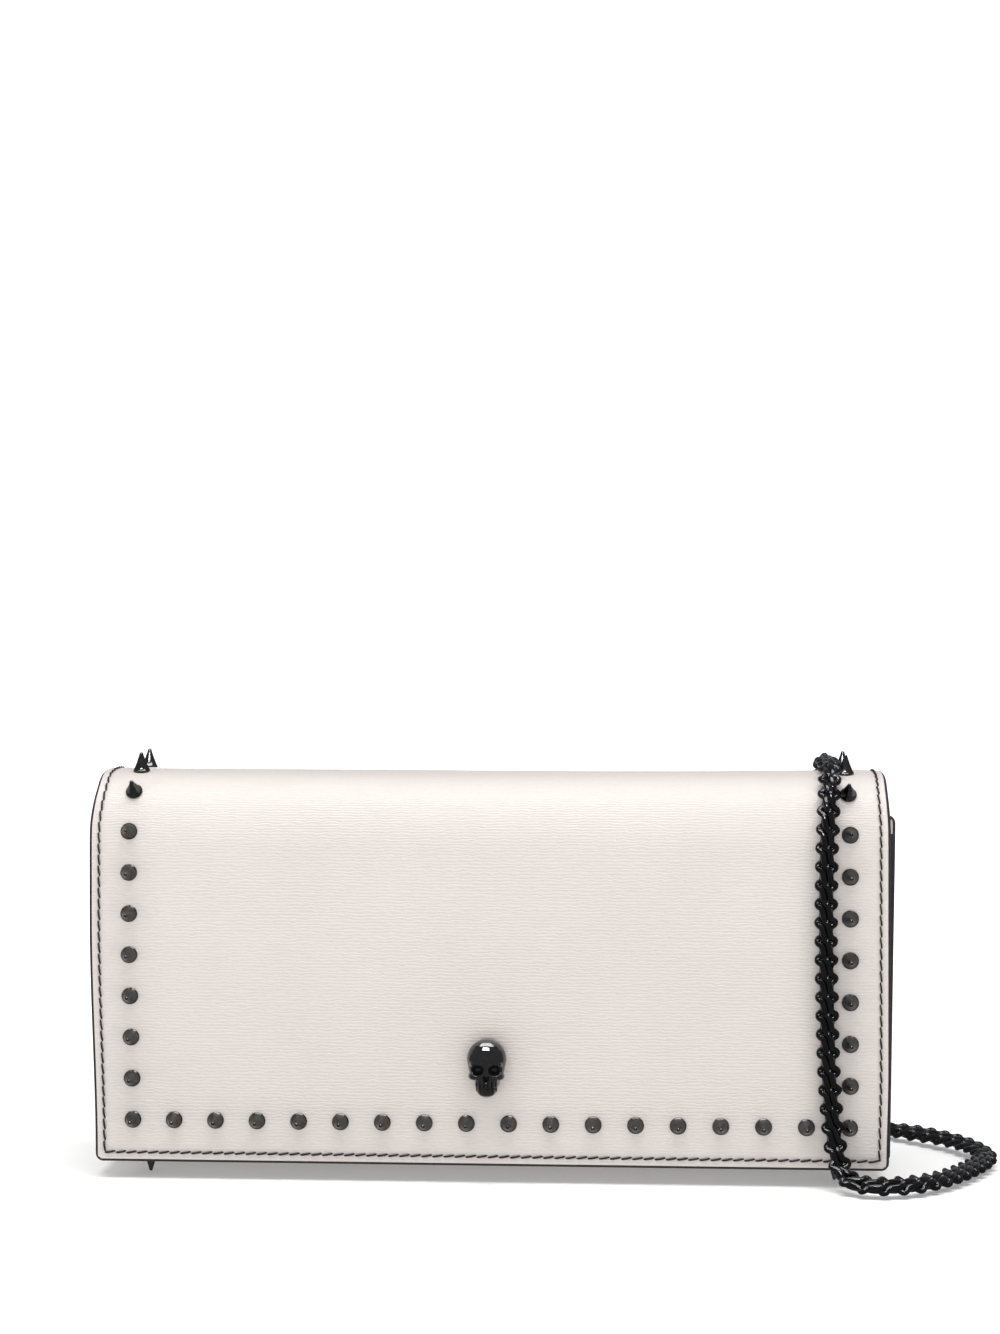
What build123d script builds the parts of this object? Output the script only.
"""Flap wallet with cone studs, a skull ornament, a zipped pocket and a chain strap.

Millimetres. X runs along the wallet, the flap faces -Y, and +Z is up from the surface it stands on.
"""

from build123d import *
from math import cos, radians, sin, tan
import os

# Overall sizes
FLAP_WIDTH = 200.0
PANEL_WIDTH = 203.4
LEATHER = 1.3
BOARD = 0.6
BOARD_HALF = 84.0
FLAP_BOARD_Z = (20.0, 82.0)
BACK_BOARD_HALF = 90.0
BACK_BOARD_Z = (12.0, 81.7)
BASE_BOARD = 0.8
LINING = 0.5
FOOT_HEIGHT = 5.5
FLAP_BOTTOM_Z = 4.7
FRONT_PANEL_TOP_Z = 91.0
BACK_PANEL_TOP_Z = 89.7
HINGE_GAP = 0.3
FLAP_TO_PANEL = 1.3
CORNER = 2.0
PANEL_CORNER = 2.0
OVERCUT = 1.0

# The fold over the top: a straight front up to SHOULDER_Z, then arcs of (radius, turn in degrees)
SHOULDER_Z = 84.0
FOLD_ARCS = [(30.0, 20.0), (12.0, 62.0), (55.0, 16.0), (9.5, 82.0)]

# Cone studs
STUD_RADIUS = 2.12
STUD_RIM = 0.5
STUD_HEIGHT = 5.5
STUD_TIP = 0.45
POST_RADIUS = 0.8
POST_HOLE = 0.85
WASHER_RADIUS = 2.0
WASHER_GAP = 0.2
WASHER = 0.35
HEAD_CLEARANCE = 0.2
STUD_COLUMN_X = 90.0
ROW_COUNT = 18
COLUMN_COUNT = 10
COLUMN_PITCH = 10.39
FIRST_STUD_UP = 10.3
FOOT_X = 87.0
FOOT_YS = (-8.0, 11.5)

# Ornament and magnetic snap
ORNAMENT_DEPTH = 6.75
ORNAMENT_Z = (22.1, 36.7)
ORNAMENT_RADIUS = 5.05
CRANIUM_ROUND = 4.04
JAW_WIDTH = 6.2
JAW_DEPTH = 5.0625
JAW_ROUND = 1.86
SCREW_ZS = (26.0, 32.5)
SCREW_RADIUS = 0.75
SCREW_REACH = 2.4
SCREW_HOLE_DEPTH = 2.6
SCREW_HEAD = 0.5
MAGNET_Z = 50.0
MAGNET_RADIUS = 6.0
MAGNET_FLANGE = 1.5
NUB_RADIUS = 2.4
NUB_HOLE = 3.4
NUB_HOLE_DEPTH = 1.0
MAGNET_WINDOW = 7.0
STUD_PLATE_RADIUS = 6.5
SOCKET_PROUD = 0.2
SOCKET_PLAY = 0.05
PLATE = 0.5
PLATE_GAP = 0.05
PLATE_PLAY = 0.1
CAP = 0.8
NUB = 1.2

# Inside
SEAM_INSET = 1.7
FLAP_LINING_INSET = 1.0
LINING_DROPS = (6.0, 4.0)
GUSSET = 1.0
GUSSET_TOP_Z = 82.5
GUSSET_FOLD_X = 91.0
GUSSET_FLANGE_X = 97.5
GUSSET_INSET = 0.5
POCKET_HALF = 89.0
POCKET_WALL = 0.8
POCKET_CAVITY = 5.0
POCKET_Y = -1.0
POCKET_TOP_Z = 74.0
CARD_PANEL = 0.5
CARD_GAP = 0.1
CARD_TOPS = (78.0, 67.0, 56.0, 45.0)
CARD_BOTTOM_Z = 8.5
CARD_HALF = 89.0
CARD_CORNER = 2.0
ZIP_TAPE = 0.6
ZIP_TRAVEL = 136.0
TAPE_GAP = 0.9
COIL_Y = (0.6, 1.5)
COIL_HALF = 80.0
COIL_PLAY = 0.1
STOP_HALF = 1.0
TEETH = 1.2
STOP_X = 82.0
SLIDER_LENGTH, SLIDER_WIDTH = 9.0, 4.6
SLIDER_GAP = 1.6
SLIDER_PLATE = 1.0
SLIDER_UNDER = 0.4
DIVIDER = (1.0, 0.35)
CHEEK = (0.2, 1.0)
CHEEK_TOP = 0.8
PULL_LIFT = 1.2
PULL_WIDTH = 2.2
PULL_PIN = 0.5
PULL_START = 0.7
PULL_PLATE = 11.0
PULL_TAB = 8.0
PULL_THICK = 0.8
PULL_PLAY = 0.06
PULL_TAB_SIZE = (4.0, 1.4)

# Strap hardware
RING_X = 84.0
RING_BAR_Z = 54.0
RING_WIRE = 1.3
RING_WIDTH = 16.0
RING_HEIGHT = 11.0
RING_CORNER = 3.0
RIVET_HEAD = (1.5, 0.6)
RIVET_HOLE = 8.0
SHANK_SHORT = 0.05
TAB_WIDTH = 9.6
TAB_DROP = 8.0
TAB_FLAT = 4.0
RIVET_UP = 2.0
TAB_LOOP_GAP = 0.15
RING_LEAN = 14.2
HOOK_RADIUS = 4.1
HOOK_WIRE = 1.1
HOOK_PLAY = 0.15
GATE_FROM, GATE_TO = -15.0, 70.0
NECK_RADIUS = 0.9
NECK_LENGTH = 3.6
NECK_HEAD = (1.5, 0.9)
KNUCKLE_RADIUS = 1.15
KNUCKLE_PROUD = 0.5
SLOT_PLAY = 0.3
GATE_ARC = (15.0, 63.0)
GATE_SLOT = 0.8
GATE_THINNER = 0.2
GATE_HALF = 0.65
GATE_KNUCKLE = 1.0
GATE_FOOT = (0.9, 0.6, 2.4)
PIN_RADIUS = 0.5
PIN_PLAY = 0.05
COLLAR_UP = 1.5
COLLAR_RADIUS = 2.1
COLLAR_LENGTH = 2.7
SWIVEL_PLAY = 0.07
HEAD_ROOM = (1.1, 1.15)
HEAD_ROOM_RADIUS = 1.6
EYE_UP = 2.6
EYE_RADIUS = 2.1
EYE_WIRE = 0.8

# Chain strap
CHAIN = 6.0
COIL_CENTRE = (57.0, 64.0)
COIL_INNER, COIL_OUTER, COIL_HEIGHT = 23.7, 42.3, 11.6
COIL_CORNER = 2.5
ARC_SHARE = 0.45

# Worked-out places
DEPTH = 0.0
HEADING = 0.0
for arc_radius, arc_turn in FOLD_ARCS:
    DEPTH += arc_radius * (cos(radians(HEADING)) - cos(radians(HEADING + arc_turn)))
    HEADING += arc_turn
FRONT_Y = -DEPTH / 2
BACK_Y = DEPTH / 2
FLAP_THICKNESS = LEATHER + BOARD + LINING
PANEL_Y = FRONT_Y + FLAP_THICKNESS + FLAP_TO_PANEL
PANEL_IN_Y = PANEL_Y + LEATHER
FRONT_LINED_Y = PANEL_IN_Y + LINING
BACK_IN_Y = BACK_Y - LEATHER
BACK_LINING_Y = BACK_IN_Y - BOARD
BACK_LINED_Y = BACK_LINING_Y - LINING
FLOOR_Z = FOOT_HEIGHT + LEATHER
POCKET_FRONT_Y = POCKET_Y - POCKET_CAVITY / 2 - POCKET_WALL
POCKET_BACK_Y = POCKET_Y + POCKET_CAVITY / 2
RING_BAR_Y = BACK_Y + LEATHER + RING_WIRE + TAB_LOOP_GAP
RIVET_Z = RING_BAR_Z - TAB_DROP + RIVET_UP


def box(x0, x1, y0, y1, z0, z1):
    """A box between two corners."""
    centre = ((x0 + x1) / 2, (y0 + y1) / 2, (z0 + z1) / 2)
    return Pos(*centre) * Box(x1 - x0, y1 - y0, z1 - z0)


def disc(origin, direction, radius, length):
    """A cylinder that starts at origin and runs along direction."""
    return Plane(origin, z_dir=direction) * Cylinder(
        radius, length, align=(Align.CENTER, Align.CENTER, Align.MIN)
    )


def rounded_panel(half, y0, y1, z0, z1, radius):
    """An upright panel whose top corners are rounded."""
    panel = box(-half, half, y0, y1, z0, z1)
    corners = panel.edges().filter_by(Axis.Y).filter_by(lambda e: e.center().Z > z1 - 1)
    return fillet(corners, radius)


def write(name, *solids):
    """Write one node, as a single solid or a group of separate ones."""
    shape = solids[0] if len(solids) == 1 else Compound(children=list(solids))
    export_step(shape, f"parts/{name}.step")


# The fold's outline, as (y, z) points and headings in degrees from +Z towards +Y


def arc_point(start, radius, heading, turn):
    """The point reached from start along an arc that bends towards +Y and down."""
    first, last = radians(heading), radians(heading + turn)
    y = start[0] + radius * (cos(first) - cos(last))
    return (y, start[1] + radius * (sin(last) - sin(first)))


def fold_edges(offset, front_z, back_z):
    """The wrap's outline at a depth under its outer face, from the front edge to the back."""
    at = (FRONT_Y + offset, SHOULDER_Z)
    edges = [Line((at[0], front_z), at)]
    heading = 0.0
    for radius, turn in FOLD_ARCS:
        middle = arc_point(at, radius - offset, heading, turn / 2)
        end = arc_point(at, radius - offset, heading, turn)
        edges.append(ThreePointArc(at, middle, end))
        at = end
        heading += turn
    edges.append(Line(at, (at[0], back_z)))
    return edges


def fold_layer(outer, inner, front_z, back_z, half):
    """One layer of the wrap, between two depths, along X from -half to half."""
    outside = fold_edges(outer, front_z, back_z)
    inside = fold_edges(inner, front_z, back_z)
    front = Line(outside[0] @ 0, inside[0] @ 0)
    back = Line(outside[-1] @ 1, inside[-1] @ 1)
    face = make_face(Wire([*outside, back, *inside, front]))
    return extrude(Plane.YZ.offset(-half) * face, 2 * half)


def fold_place(distance):
    """The (y, z) place and heading at a distance along the wrap from the flap's bottom edge."""
    left = distance - (SHOULDER_Z - FLAP_BOTTOM_Z)
    if left <= 0:
        return (FRONT_Y, FLAP_BOTTOM_Z + distance), 0.0
    at, heading = (FRONT_Y, SHOULDER_Z), 0.0
    for radius, turn in FOLD_ARCS:
        length = radius * radians(turn)
        if left <= length:
            angle = turn * left / length
            return arc_point(at, radius, heading, angle), heading + angle
        at = arc_point(at, radius, heading, turn)
        heading += turn
        left -= length
    return (at[0], at[1] - left), heading


def stud(origin, direction, post):
    """A cone stud with its screw post, standing on a surface."""
    profile = Polyline(
        (0, 0),
        (STUD_RADIUS, 0),
        (STUD_RADIUS, STUD_RIM),
        (STUD_TIP, STUD_HEIGHT),
        (0, STUD_HEIGHT),
        close=True,
    )
    cone = revolve(Plane.XZ * make_face(profile), Axis.Z)
    cone += Pos(0, 0, -post / 2) * Cylinder(POST_RADIUS, post)
    return Plane(origin, z_dir=direction) * cone


def washer(origin, direction, depth):
    """The ring that holds a stud's post behind the leather."""
    inward = Vector(*direction) * -1
    start = Vector(*origin) + inward * (depth + WASHER_GAP)
    ring = disc(start, inward, WASHER_RADIUS, WASHER)
    return ring - disc(start, inward, POST_HOLE, WASHER)


def column_places(x):
    """The places and directions of one column of studs, above the bottom row's."""
    places = []
    for k in range(1, COLUMN_COUNT + 1):
        (y, z), heading = fold_place(FIRST_STUD_UP + k * COLUMN_PITCH)
        normal = (0, -cos(radians(heading)), sin(radians(heading)))
        places.append(((x, y, z), normal))
    return places


def row_places():
    """The places and directions of the bottom row of studs."""
    step = 2 * STUD_COLUMN_X / (ROW_COUNT - 1)
    z = FLAP_BOTTOM_Z + FIRST_STUD_UP
    return [((-STUD_COLUMN_X + step * k, FRONT_Y, z), (0, -1, 0)) for k in range(ROW_COUNT)]


POST = LEATHER + WASHER_GAP + WASHER
flap_stud_places = {
    "row": row_places(),
    "left": column_places(-STUD_COLUMN_X),
    "right": column_places(STUD_COLUMN_X),
}
foot_places = [((x, y, FOOT_HEIGHT), (0, 0, -1)) for x in (-FOOT_X, FOOT_X) for y in FOOT_YS]


def make_flap():
    """The leather wrap, its board and lining, its studs, ornament and snap."""
    back_z = BACK_PANEL_TOP_Z + HINGE_GAP
    leather = fold_layer(0, LEATHER, FLAP_BOTTOM_Z, back_z, FLAP_WIDTH / 2)
    low = leather.edges().filter_by(Axis.Y).filter_by(lambda e: e.center().Z < FLAP_BOTTOM_Z + 1)
    leather = fillet(low, CORNER)
    for places in flap_stud_places.values():
        for origin, direction in places:
            start = Vector(*origin) + Vector(*direction) * OVERCUT
            leather -= disc(start, Vector(*direction) * -1, POST_HOLE, LEATHER + 2 * OVERCUT)
    for z in SCREW_ZS:
        leather -= disc((0, FRONT_Y - OVERCUT, z), (0, 1, 0), POST_HOLE, LEATHER + 2 * OVERCUT)
    write("flap_leather", leather)

    board_y = FRONT_Y + LEATHER
    low, high = FLAP_BOARD_Z
    board = box(-BOARD_HALF, BOARD_HALF, board_y, board_y + BOARD, low, high)
    through = BOARD + 2 * OVERCUT
    board -= disc((0, board_y - OVERCUT, MAGNET_Z), (0, 1, 0), MAGNET_WINDOW, through)
    for z in SCREW_ZS:
        board -= disc((0, board_y - OVERCUT, z), (0, 1, 0), WASHER_RADIUS + HEAD_CLEARANCE, through)
    write("flap_board", board)

    lining_half = FLAP_WIDTH / 2 - FLAP_LINING_INSET
    lining_top = LEATHER + BOARD
    lining_low = FLAP_BOTTOM_Z + FLAP_LINING_INSET
    lining = fold_layer(lining_top, FLAP_THICKNESS, lining_low, back_z, lining_half)
    write("flap_lining", lining)

    for side, places in flap_stud_places.items():
        write(f"flap_{side}_studs", *[stud(o, d, POST) for o, d in places])
        write(f"flap_{side}_washers", *[washer(o, d, LEATHER) for o, d in places])
    make_ornament(board_y)
    make_flap_snap(board_y)


def make_ornament(board_y):
    """The skull's plain core, and the two screws that hold it."""
    low, high = ORNAMENT_Z
    front = FRONT_Y - ORNAMENT_DEPTH
    cranium = disc((0, FRONT_Y, high - ORNAMENT_RADIUS), (0, -1, 0), ORNAMENT_RADIUS, ORNAMENT_DEPTH)
    rim = cranium.edges().filter_by(lambda e: e.center().Y < front + 0.1)
    cranium = fillet(rim, CRANIUM_ROUND)
    half = JAW_WIDTH / 2
    jaw = box(-half, half, FRONT_Y - JAW_DEPTH, FRONT_Y, low, high - ORNAMENT_RADIUS)
    jaw = fillet(jaw.edges().filter_by(Axis.Z).group_by(Axis.Y)[0], JAW_ROUND)
    skull = cranium + jaw
    screws = []
    for z in SCREW_ZS:
        skull -= disc((0, FRONT_Y, z), (0, -1, 0), POST_RADIUS, SCREW_HOLE_DEPTH)
        shank = disc((0, board_y, z), (0, -1, 0), SCREW_RADIUS, LEATHER + SCREW_REACH)
        screws.append(shank + disc((0, board_y, z), (0, 1, 0), WASHER_RADIUS, SCREW_HEAD))
    write("skull_ornament", skull)
    write("skull_screws", *screws)


def make_flap_snap(board_y):
    """The snap's half on the flap: a disc with a nub, and the plate behind the lining."""
    face_y = FRONT_Y + FLAP_THICKNESS
    cap = disc((0, face_y, MAGNET_Z), (0, 1, 0), MAGNET_RADIUS, CAP)
    cap += disc((0, face_y + CAP, MAGNET_Z), (0, 1, 0), NUB_RADIUS, NUB)
    write("snap_stud", cap)
    plate_y = board_y + PLATE_GAP
    write("snap_stud_plate", disc((0, plate_y, MAGNET_Z), (0, 1, 0), STUD_PLATE_RADIUS, PLATE))


def make_panels():
    """The front, base and back panels with their boards, linings and the snap's other half."""
    half = PANEL_WIDTH / 2
    hole = disc((0, PANEL_Y - OVERCUT, MAGNET_Z), (0, 1, 0), MAGNET_RADIUS, LEATHER + 2 * OVERCUT)
    front = rounded_panel(half, PANEL_Y, PANEL_IN_Y, FLOOR_Z, FRONT_PANEL_TOP_Z, PANEL_CORNER)
    write("front_panel", front - hole)
    back = rounded_panel(half, BACK_IN_Y, BACK_Y, FLOOR_Z, BACK_PANEL_TOP_Z, PANEL_CORNER)
    write("back_panel", back - rivet_hole(-RING_X) - rivet_hole(RING_X))
    base = box(-half, half, PANEL_Y, BACK_Y, FOOT_HEIGHT, FLOOR_Z)
    base = fillet(base.edges().filter_by(Axis.Z), CORNER / 2)
    for origin, direction in foot_places:
        start = Vector(*origin) - (0, 0, OVERCUT)
        base -= disc(start, (0, 0, 1), POST_HOLE, LEATHER + 2 * OVERCUT)
    write("base_panel", base)

    inner = half - SEAM_INSET
    flange = MAGNET_RADIUS + MAGNET_FLANGE
    start = (0, PANEL_IN_Y - OVERCUT, MAGNET_Z)
    wide_hole = disc(start, (0, 1, 0), flange + PLATE_PLAY, LINING + 2 * OVERCUT)
    top = FRONT_PANEL_TOP_Z - LINING_DROPS[0]
    lining = box(-inner, inner, PANEL_IN_Y, FRONT_LINED_Y, FLOOR_Z, top)
    write("front_lining", lining - wide_hole)
    board = box(-BACK_BOARD_HALF, BACK_BOARD_HALF, BACK_LINING_Y, BACK_IN_Y, *BACK_BOARD_Z)
    write("back_board", board)
    top = BACK_PANEL_TOP_Z - LINING_DROPS[1]
    lining = box(-inner, inner, BACK_LINED_Y, BACK_LINING_Y, FLOOR_Z, top)
    write("back_lining", lining)
    board = box(-BOARD_HALF, BOARD_HALF, FRONT_LINED_Y, BACK_LINED_Y, FLOOR_Z, FLOOR_Z + BASE_BOARD)
    write("base_board", board)

    start = (0, PANEL_Y - SOCKET_PROUD, MAGNET_Z)
    socket = disc(start, (0, 1, 0), MAGNET_RADIUS - SOCKET_PLAY, LEATHER + SOCKET_PROUD)
    socket -= disc((0, PANEL_Y - OVERCUT, MAGNET_Z), (0, 1, 0), NUB_HOLE, OVERCUT + NUB_HOLE_DEPTH)
    write("snap_socket", socket)
    write("snap_socket_plate", disc((0, PANEL_IN_Y, MAGNET_Z), (0, 1, 0), flange, PLATE))

    write("foot_studs", *[stud(o, d, POST) for o, d in foot_places])
    write("foot_washers", *[washer(o, d, LEATHER) for o, d in foot_places])


def make_gussets():
    """The two folded side walls."""
    front_y = FRONT_LINED_Y + GUSSET / 2
    back_y = BACK_LINED_Y - GUSSET / 2
    edge_x = PANEL_WIDTH / 2 - GUSSET_INSET
    corners = [
        (edge_x, front_y),
        (GUSSET_FLANGE_X, front_y),
        (GUSSET_FOLD_X, (front_y + back_y) / 2),
        (GUSSET_FLANGE_X, back_y),
        (edge_x, back_y),
    ]
    for name, side in (("gusset_left", -1), ("gusset_right", 1)):
        line = Polyline(*[(side * x, y) for x, y in corners])
        face = trace(line, GUSSET)
        height = GUSSET_TOP_Z - FLOOR_Z
        write(name, extrude(Pos(0, 0, FLOOR_Z) * face, height))


def make_pockets():
    """The zipped centre pocket and the card pockets on the back lining."""
    low = FLOOR_Z + BASE_BOARD
    wall = POCKET_WALL
    half = POCKET_HALF
    front = box(-half, half, POCKET_FRONT_Y, POCKET_FRONT_Y + wall, low, POCKET_TOP_Z)
    back = box(-half, half, POCKET_BACK_Y, POCKET_BACK_Y + wall, low, POCKET_TOP_Z)
    write("pocket_front_wall", front)
    write("pocket_back_wall", back)
    for k, top in enumerate(CARD_TOPS):
        y = BACK_LINED_Y - CARD_GAP - k * (CARD_PANEL + CARD_GAP)
        card = rounded_panel(CARD_HALF, y - CARD_PANEL, y, CARD_BOTTOM_Z, top, CARD_CORNER)
        write(f"card_pocket_{k + 1}", card)


def make_zip():
    """The zip over the centre pocket: tapes, coils, stops, slider and pull."""
    z = POCKET_TOP_Z
    half = POCKET_HALF
    top = z + ZIP_TAPE
    for name, side in (("front", -1), ("back", 1)):
        outer = POCKET_Y + side * (POCKET_CAVITY / 2 + POCKET_WALL)
        ys = sorted((outer, POCKET_Y + side * TAPE_GAP))
        write(f"zip_tape_{name}", box(-half, half, *ys, z, top))
        ys = sorted((POCKET_Y + side * COIL_Y[0], POCKET_Y + side * COIL_Y[1]))
        write(f"zip_coil_{name}", box(-COIL_HALF, COIL_HALF, *ys, top, top + TEETH))
    reach = COIL_Y[1] + COIL_PLAY
    stops = [
        box(x - STOP_HALF, x + STOP_HALF, POCKET_Y - reach, POCKET_Y + reach, top, top + SLIDER_GAP)
        for x in (-STOP_X, STOP_X)
    ]
    write("zip_stops", *stops)

    x = -ZIP_TRAVEL / 2
    ys = (POCKET_Y - SLIDER_WIDTH / 2, POCKET_Y + SLIDER_WIDTH / 2)
    xs = (x - SLIDER_LENGTH / 2, x + SLIDER_LENGTH / 2)
    plate_z = top + SLIDER_GAP + SLIDER_PLATE
    slider = box(*xs, *ys, top + SLIDER_GAP, plate_z)
    under = z - SLIDER_UNDER
    slider += box(*xs, *ys, under - SLIDER_PLATE, under)
    length, width = DIVIDER
    ys = (POCKET_Y - width, POCKET_Y + width)
    slider += box(x - length, x + length, *ys, under, top + SLIDER_GAP)
    pivot_z = plate_z + PULL_LIFT
    cheek = [PULL_WIDTH / 2 + gap for gap in CHEEK]
    for side in (-1, 1):
        ys = sorted((POCKET_Y + side * cheek[0], POCKET_Y + side * cheek[1]))
        slider += box(x - length, x + length, *ys, plate_z, pivot_z + CHEEK_TOP)
    slider += disc((x, POCKET_Y - cheek[0], pivot_z), (0, 1, 0), PULL_PIN, 2 * cheek[0])
    write("zip_slider", slider)

    ys = (POCKET_Y - PULL_WIDTH / 2, POCKET_Y + PULL_WIDTH / 2)
    pull = disc((x, ys[0], pivot_z), (0, 1, 0), 2 * PULL_PIN, PULL_WIDTH)
    zs = (pivot_z - PULL_THICK / 2, pivot_z + PULL_THICK / 2)
    pull += box(x + PULL_START, x + PULL_PLATE, *ys, *zs)
    pull -= disc((x, POCKET_Y - PULL_WIDTH, pivot_z), (0, 1, 0), PULL_PIN + PULL_PLAY, 2 * PULL_WIDTH)
    write("zip_pull", pull)
    start = x + PULL_PLATE
    wide, thick = [size / 2 for size in PULL_TAB_SIZE]
    ys = (POCKET_Y - wide, POCKET_Y + wide)
    write("zip_pull_tab", box(start, start + PULL_TAB, *ys, pivot_z - thick, pivot_z + thick))
    print("zip pull pivot", x, POCKET_Y, pivot_z)


def rivet_hole(x):
    """The hole for a tab's rivet, through the tab and the back panel."""
    return disc((x, BACK_IN_Y - OVERCUT, RIVET_Z), (0, 1, 0), POST_HOLE, RIVET_HOLE)


def make_ring_tab(x):
    """The folded leather tab that holds a strap ring's bar."""
    inner = RING_WIRE + TAB_LOOP_GAP
    outer = inner + LEATHER
    low = RING_BAR_Z - TAB_DROP
    side = Polyline(
        (BACK_Y, low),
        (BACK_Y, RING_BAR_Z),
        (RING_BAR_Y + outer, RING_BAR_Z),
        (BACK_Y + 2 * LEATHER, low + TAB_FLAT),
        (BACK_Y + 2 * LEATHER, low),
        close=True,
    )
    start = Plane.YZ.offset(x - TAB_WIDTH / 2)
    tab = extrude(start * make_face(side), TAB_WIDTH)
    tab += disc((x - TAB_WIDTH / 2, RING_BAR_Y, RING_BAR_Z), (1, 0, 0), outer, TAB_WIDTH)
    return tab - disc((x - TAB_WIDTH, RING_BAR_Y, RING_BAR_Z), (1, 0, 0), inner, 2 * TAB_WIDTH)


def make_ring():
    """A ring of round wire with its bar on the X axis, standing up from it along +Z."""
    outline = Pos(0, RING_HEIGHT / 2) * RectangleRounded(RING_WIDTH, RING_HEIGHT, RING_CORNER)
    path = (Plane.XZ * outline).wire()
    section = Plane(path @ 0, z_dir=path % 0) * Circle(RING_WIRE)
    return sweep(section, path)


def hook_arc(radius_gap, first, last):
    """Part of the hook's round wire in the YZ plane, between two angles from +Y towards +Z."""
    middle = HOOK_RADIUS - HOOK_WIRE
    arc = CenterArc((0, 0), middle, first, last - first)
    path = Plane.YZ * arc
    section = Plane(path @ 0, z_dir=path % 0) * Circle(HOOK_WIRE - radius_gap)
    return sweep(section, path)


def make_clasp():
    """The hook with its pin, gate and swivel eye, with the loop's centre at the origin."""
    middle = HOOK_RADIUS - HOOK_WIRE
    hook = hook_arc(0, GATE_TO, 360 + GATE_FROM)
    hook += disc((0, 0, middle), (0, 0, 1), NECK_RADIUS, NECK_LENGTH)
    hook += disc((0, 0, middle + NECK_LENGTH - NECK_HEAD[1]), (0, 0, 1), *NECK_HEAD)
    angle = radians(GATE_FROM)
    pivot = Vector(0, middle * cos(angle), middle * sin(angle))
    reach = HOOK_WIRE + KNUCKLE_PROUD
    knuckle = disc(pivot - (reach, 0, 0), (1, 0, 0), KNUCKLE_RADIUS, 2 * reach)
    slot = disc(pivot - (GATE_SLOT, 0, 0), (1, 0, 0), KNUCKLE_RADIUS + SLOT_PLAY, 2 * GATE_SLOT)
    through = (pivot - (reach + OVERCUT, 0, 0), (1, 0, 0))
    bore = disc(*through, PIN_RADIUS, 2 * (reach + OVERCUT))
    hook = hook - slot + (knuckle - slot) - bore
    pin = disc(pivot - (reach, 0, 0), (1, 0, 0), PIN_RADIUS, 2 * reach)

    gate = hook_arc(GATE_THINNER, *GATE_ARC)
    ys = (pivot.Y - GATE_FOOT[0], pivot.Y + GATE_FOOT[1])
    gate += box(-GATE_HALF, GATE_HALF, *ys, pivot.Z, pivot.Z + GATE_FOOT[2])
    gate += disc(pivot - (GATE_HALF, 0, 0), (1, 0, 0), GATE_KNUCKLE, 2 * GATE_HALF)
    gate -= disc(*through, PIN_RADIUS + PIN_PLAY, 2 * (reach + OVERCUT))

    collar_z = middle + COLLAR_UP
    eye = disc((0, 0, collar_z), (0, 0, 1), COLLAR_RADIUS, COLLAR_LENGTH)
    eye -= disc((0, 0, collar_z - OVERCUT), (0, 0, 1), NECK_RADIUS + SWIVEL_PLAY, COLLAR_LENGTH)
    eye -= disc((0, 0, collar_z + HEAD_ROOM[0]), (0, 0, 1), HEAD_ROOM_RADIUS, HEAD_ROOM[1])
    loop_z = collar_z + COLLAR_LENGTH + EYE_UP
    eye += Plane((0, 0, loop_z), x_dir=(0, 1, 0), z_dir=(1, 0, 0)) * Torus(EYE_RADIUS, EYE_WIRE)
    return hook, pin, gate, eye, pivot, loop_z + EYE_RADIUS + EYE_WIRE


def make_strap_ends():
    """The ring, clasp and tab at each end of the strap: right one held up, left one hanging."""
    hook, pin, gate, eye, pivot, length = make_clasp()
    seat = HOOK_RADIUS - 2 * HOOK_WIRE - RING_WIRE - HOOK_PLAY
    rivets = []
    for name, x, hangs in (("left", -RING_X, True), ("right", RING_X, False)):
        lean = radians(RING_LEAN)
        up = -1 if hangs else 1
        bow = (RING_BAR_Y + RING_HEIGHT * sin(lean), RING_BAR_Z + up * RING_HEIGHT * cos(lean))
        tilt = -(180 - RING_LEAN) if hangs else -RING_LEAN
        ring = Pos(x, RING_BAR_Y, RING_BAR_Z) * Rot(tilt, 0, 0) * make_ring()
        write(f"strap_ring_{name}", ring)
        place = Pos(x, bow[0], bow[1] + up * seat)
        if hangs:
            place = place * Rot(0, 180, 0)
        write(f"clasp_hook_{name}", place * hook)
        write(f"clasp_pin_{name}", place * pin)
        write(f"clasp_gate_{name}", place * gate)
        write(f"clasp_eye_{name}", place * eye)
        centre = place.position
        print(name, "hook centre", tuple(round(v, 3) for v in centre))
        print(name, "gate pivot", round(centre.Y + pivot.Y, 3), round(centre.Z + up * pivot.Z, 3))
        print(name, "eye end z", round(centre.Z + up * length, 3))

        write(f"ring_tab_{name}", make_ring_tab(x) - rivet_hole(x))
        start = (x, BACK_IN_Y + SHANK_SHORT, RIVET_Z)
        shank = disc(start, (0, 1, 0), POST_RADIUS, 3 * LEATHER - SHANK_SHORT)
        rivets.append(shank + disc((x, BACK_Y + 2 * LEATHER, RIVET_Z), (0, 1, 0), *RIVET_HEAD))
    write("tab_rivets", *rivets)


# The strap's route. Each corner's arc is as large as its two runs allow.

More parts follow.
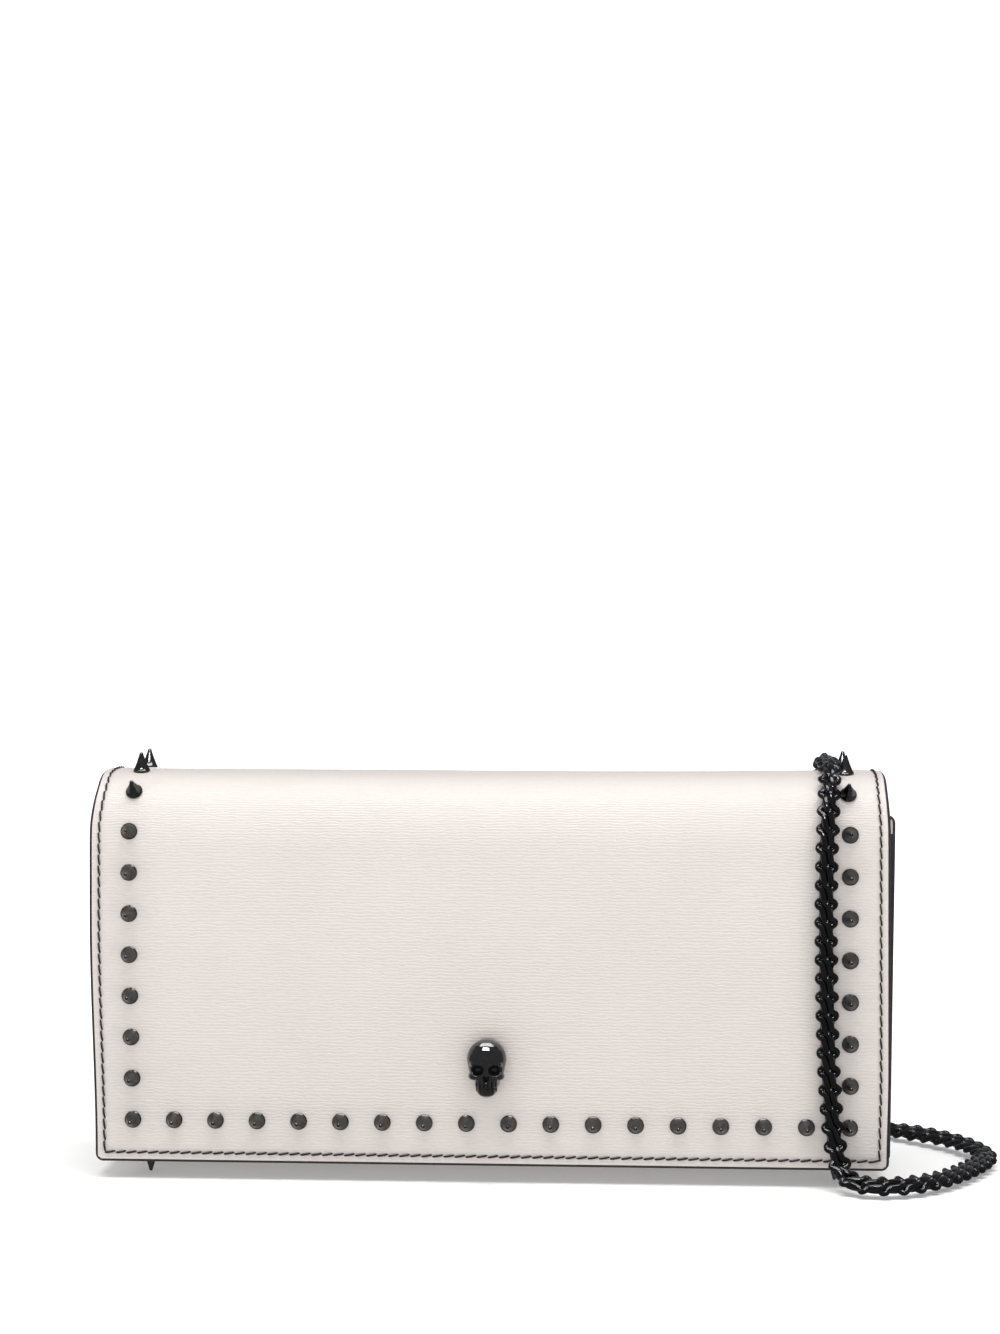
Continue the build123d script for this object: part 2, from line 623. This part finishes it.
OVER_AND_DOWN = [
    (84.0, 22.9, 78.6),
    (84.0, 23.2, 87.5),
    (84.1, 21.6, 97.0),
    (84.2, 15.4, 104.6),
    (84.3, 6.0, 107.6),
    (84.3, -4.0, 107.4),
    (84.2, -12.6, 104.8),
    (84.1, -19.2, 98.4),
    (84.0, -21.7, 88.5),
    (84.1, -21.5, 72.0),
    (84.3, -21.7, 50.0),
    (84.7, -21.5, 30.0),
]
FLOOR_LOOP = [
    (86.3, -22.1, 12.0),
    (87.6, -24.6, 4.6),
    (93.0, -28.4, 3.0),
    (100.4, -28.2, 3.0),
    (108.2, -24.2, 3.0),
    (115.8, -15.6, 3.0),
    (122.6, -4.0, 3.0),
    (127.6, 7.4, 3.0),
    (125.4, 18.4, 3.0),
    (120.6, 27.6, 3.0),
    (114.2, 34.6, 3.0),
    (106.6, 41.4, 3.0),
    (99.6, 49.2, 3.0),
    (96.4, 58.0, 3.0),
    (96.0, 64.0, 3.0),
]
COIL_TO_RING = [
    (21.0, 64.0, 8.4),
    (20.8, 56.0, 9.2),
    (19.4, 46.6, 9.3),
    (13.6, 38.6, 6.2),
    (4.0, 33.6, 3.2),
    (-9.0, 31.2, 3.0),
    (-24.0, 32.4, 3.0),
    (-44.0, 34.2, 3.0),
    (-61.0, 32.2, 3.0),
    (-73.5, 29.0, 4.2),
    (-81.0, 26.0, 11.0),
    (-83.6, 23.6, 20.0),
    (-84.0, 22.9, 29.0),
]


def chain_tube(name, points):
    """A plain tube of the chain's diameter along straight runs joined by tangent arcs."""
    route = [Vector(*p) for p in points]
    radii = []
    for before, corner, after in zip(route, route[1:], route[2:]):
        turn = radians((corner - before).get_angle(after - corner))
        shorter = min((corner - before).length, (after - corner).length)
        radii.append(ARC_SHARE * shorter / tan(turn / 2))
    path = FilletPolyline(*route, radius=radii)
    section = Plane(path @ 0, z_dir=path % 0) * Circle(CHAIN / 2)
    tube = sweep(section, path)
    expected = section.area * path.length
    print(name, "length", round(path.length, 1), "radii", [round(r, 1) for r in radii])
    print(name, "volume over section times length", round(tube.volume / expected, 4))
    write(name, tube)


def make_chain():
    """The strap's four stretches: over the flap, the loop on the floor, the coil, and the rise."""
    before = Vector(*OVER_AND_DOWN[-1])
    after = Vector(*FLOOR_LOOP[0])
    split = before + (after - before) * 0.5
    chain_tube("chain_over_flap", [*OVER_AND_DOWN, tuple(split)])
    chain_tube("chain_floor_loop", [tuple(split), *FLOOR_LOOP])
    chain_tube("chain_to_left_ring", COIL_TO_RING)
    ring = Cylinder(COIL_OUTER, COIL_HEIGHT) - Cylinder(COIL_INNER, COIL_HEIGHT)
    ring = fillet(ring.edges().filter_by(GeomType.CIRCLE), COIL_CORNER)
    write("chain_coil", Pos(*COIL_CENTRE, COIL_HEIGHT / 2) * ring)


os.makedirs("parts", exist_ok=True)
make_flap()
make_panels()
make_gussets()
make_pockets()
make_zip()
make_strap_ends()
make_chain()
print("depth", round(DEPTH, 3), "hinge y", round(BACK_Y, 3), "z", BACK_PANEL_TOP_Z + HINGE_GAP / 2)
